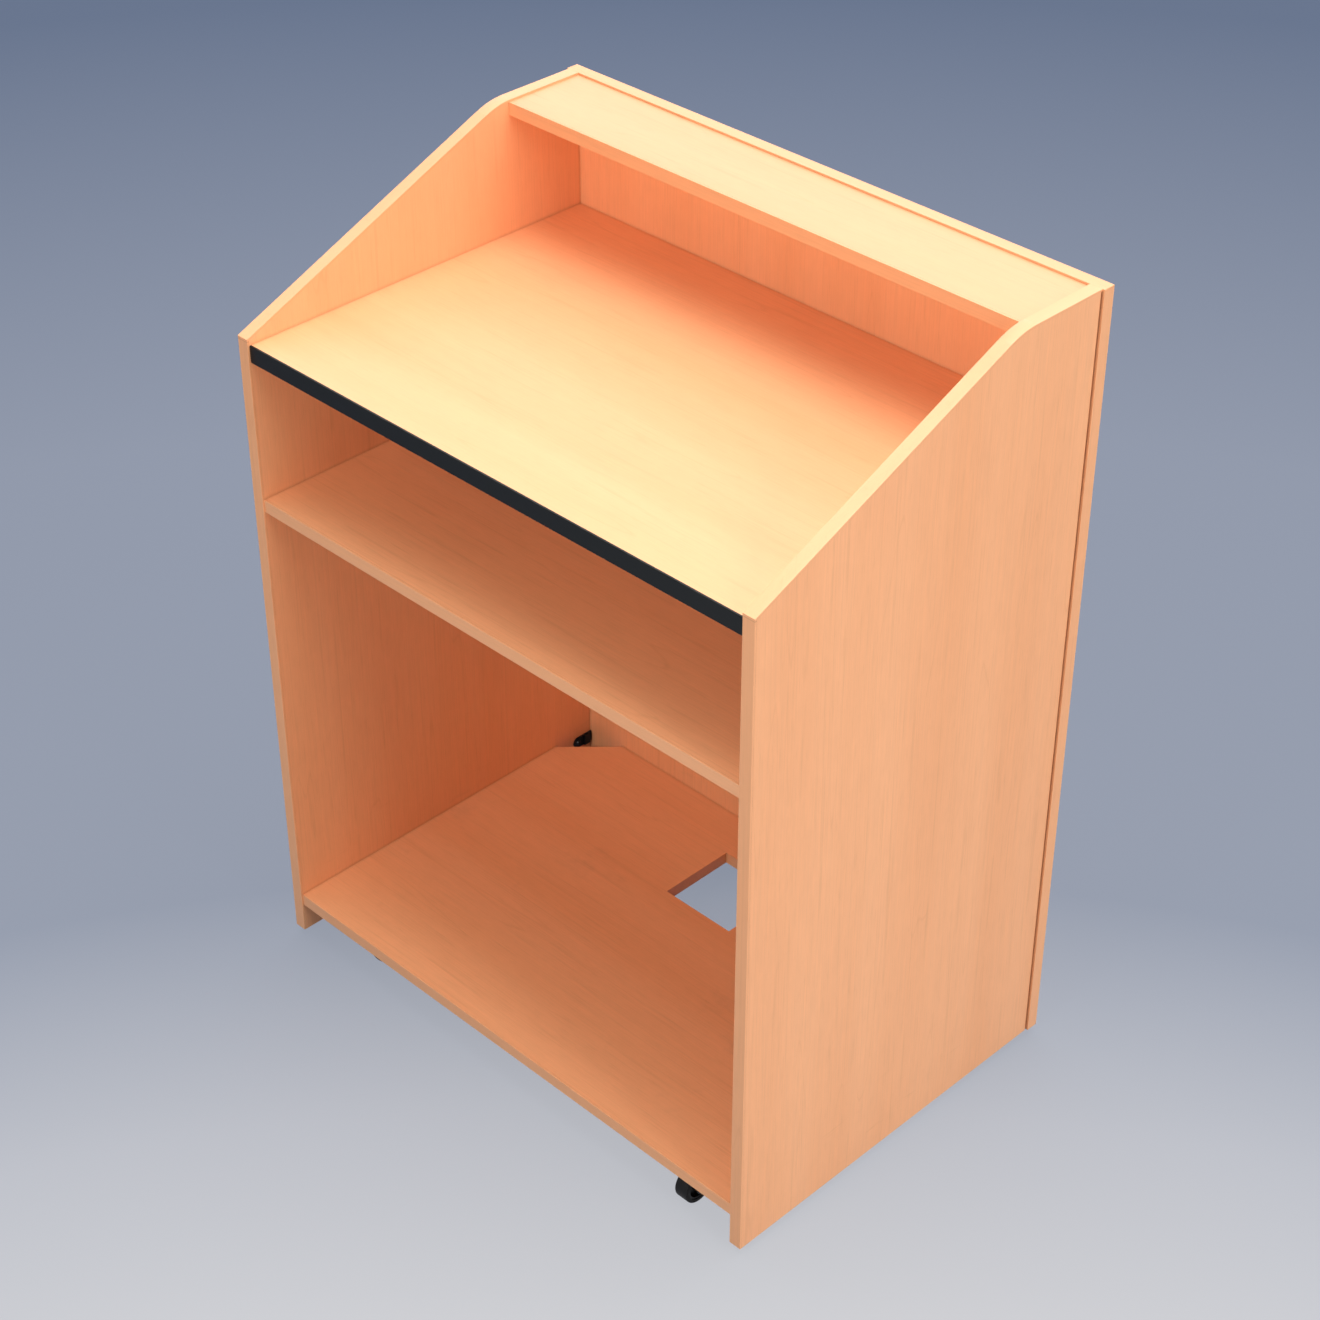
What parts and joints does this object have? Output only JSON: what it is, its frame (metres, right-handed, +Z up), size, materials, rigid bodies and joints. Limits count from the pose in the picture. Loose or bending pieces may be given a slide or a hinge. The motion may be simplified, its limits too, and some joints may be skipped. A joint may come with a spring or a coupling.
{
  "type": "rolling lectern",
  "caption": "Wide open-fronted lectern cabinet with sloped sides, a work surface, a raised rear shelf, a lower shelf, a floor panel with a cable hole, and hidden swivel casters.",
  "frame": {"origin": "on the floor, under the middle of the overall box", "axes": "+X across the lectern to its right side as the picture shows it, +Y from the open side where the speaker stands to the closed side that faces the audience, +Z up"},
  "size_m": [0.9208, 0.6094, 1.1922],
  "materials": {
    "wood_laminate": "satin wood-grain laminate",
    "wood_edge_band": "satin solid edge band",
    "black_edge_mould": "soft satin",
    "black_plastic": "matt moulded",
    "black_rubber": "matt",
    "black_steel": "satin black coat",
    "bright_steel": "zinc plated",
    "zinc": "die cast",
    "birch": "bare"
  },
  "bodies": {
    "cabinet": {"left_side_panel": "wood_laminate", "right_side_panel": "wood_laminate", "back_panel": "wood_laminate", "top_shelf": "wood_laminate", "work_surface": "wood_laminate", "middle_shelf": "wood_laminate", "floor_panel": "wood_laminate", "left_front_band": "wood_edge_band", "right_front_band": "wood_edge_band", "left_top_band": "wood_edge_band", "right_top_band": "wood_edge_band", "back_left_band": "wood_edge_band", "back_right_band": "wood_edge_band", "back_top_band": "wood_edge_band", "top_shelf_band": "wood_edge_band", "middle_shelf_band": "wood_edge_band", "floor_band": "wood_edge_band", "work_surface_mould": "black_edge_mould", "cord_mount": "black_plastic", "cord_mount_screw": "black_steel", "cam_housings": "zinc", "cam_bolts": "bright_steel", "wood_dowels": "birch", "caster_screws": "bright_steel", "front_left_plate": "black_steel", "front_left_kingpin": "bright_steel", "front_left_balls": "bright_steel", "front_right_plate": "black_steel", "front_right_kingpin": "bright_steel", "front_right_balls": "bright_steel", "rear_left_plate": "black_steel", "rear_left_kingpin": "bright_steel", "rear_left_balls": "bright_steel", "rear_right_plate": "black_steel", "rear_right_kingpin": "bright_steel", "rear_right_balls": "bright_steel"},
    "front_left_swivel": {"front_left_fork": "black_steel", "front_left_axle": "bright_steel", "front_left_nut": "bright_steel"},
    "front_left_roller": {"front_left_wheel": "black_plastic", "front_left_tread": "black_rubber"},
    "front_right_swivel": {"front_right_fork": "black_steel", "front_right_axle": "bright_steel", "front_right_nut": "bright_steel"},
    "front_right_roller": {"front_right_wheel": "black_plastic", "front_right_tread": "black_rubber"},
    "rear_left_swivel": {"rear_left_fork": "black_steel", "rear_left_axle": "bright_steel", "rear_left_nut": "bright_steel"},
    "rear_left_roller": {"rear_left_wheel": "black_plastic", "rear_left_tread": "black_rubber"},
    "rear_right_swivel": {"rear_right_fork": "black_steel", "rear_right_axle": "bright_steel", "rear_right_nut": "bright_steel"},
    "rear_right_roller": {"rear_right_wheel": "black_plastic", "rear_right_tread": "black_rubber"}
  },
  "joints": [
    {"name": "front_left_swivel", "type": "hinge", "parent": "cabinet", "child": "front_left_swivel", "pos_m": [-0.34, -0.25155, 0.055], "axis": [0, 0, 1], "continuous": true},
    {"name": "front_left_roll", "type": "hinge", "parent": "front_left_swivel", "child": "front_left_roller", "pos_m": [-0.321, -0.25155, 0.0254], "axis": [0, 1, 0], "continuous": true},
    {"name": "front_right_swivel", "type": "hinge", "parent": "cabinet", "child": "front_right_swivel", "pos_m": [0.34, -0.25155, 0.055], "axis": [0, 0, 1], "continuous": true},
    {"name": "front_right_roll", "type": "hinge", "parent": "front_right_swivel", "child": "front_right_roller", "pos_m": [0.34, -0.27055, 0.0254], "axis": [1, 0, 0], "continuous": true},
    {"name": "rear_left_swivel", "type": "hinge", "parent": "cabinet", "child": "rear_left_swivel", "pos_m": [-0.34, 0.23495, 0.055], "axis": [0, 0, 1], "continuous": true},
    {"name": "rear_left_roll", "type": "hinge", "parent": "rear_left_swivel", "child": "rear_left_roller", "pos_m": [-0.34, 0.21595, 0.0254], "axis": [1, 0, 0], "continuous": true},
    {"name": "rear_right_swivel", "type": "hinge", "parent": "cabinet", "child": "rear_right_swivel", "pos_m": [0.34, 0.23495, 0.055], "axis": [0, 0, 1], "continuous": true},
    {"name": "rear_right_roll", "type": "hinge", "parent": "rear_right_swivel", "child": "rear_right_roller", "pos_m": [0.34, 0.21595, 0.0254], "axis": [1, 0, 0], "continuous": true}
  ]
}
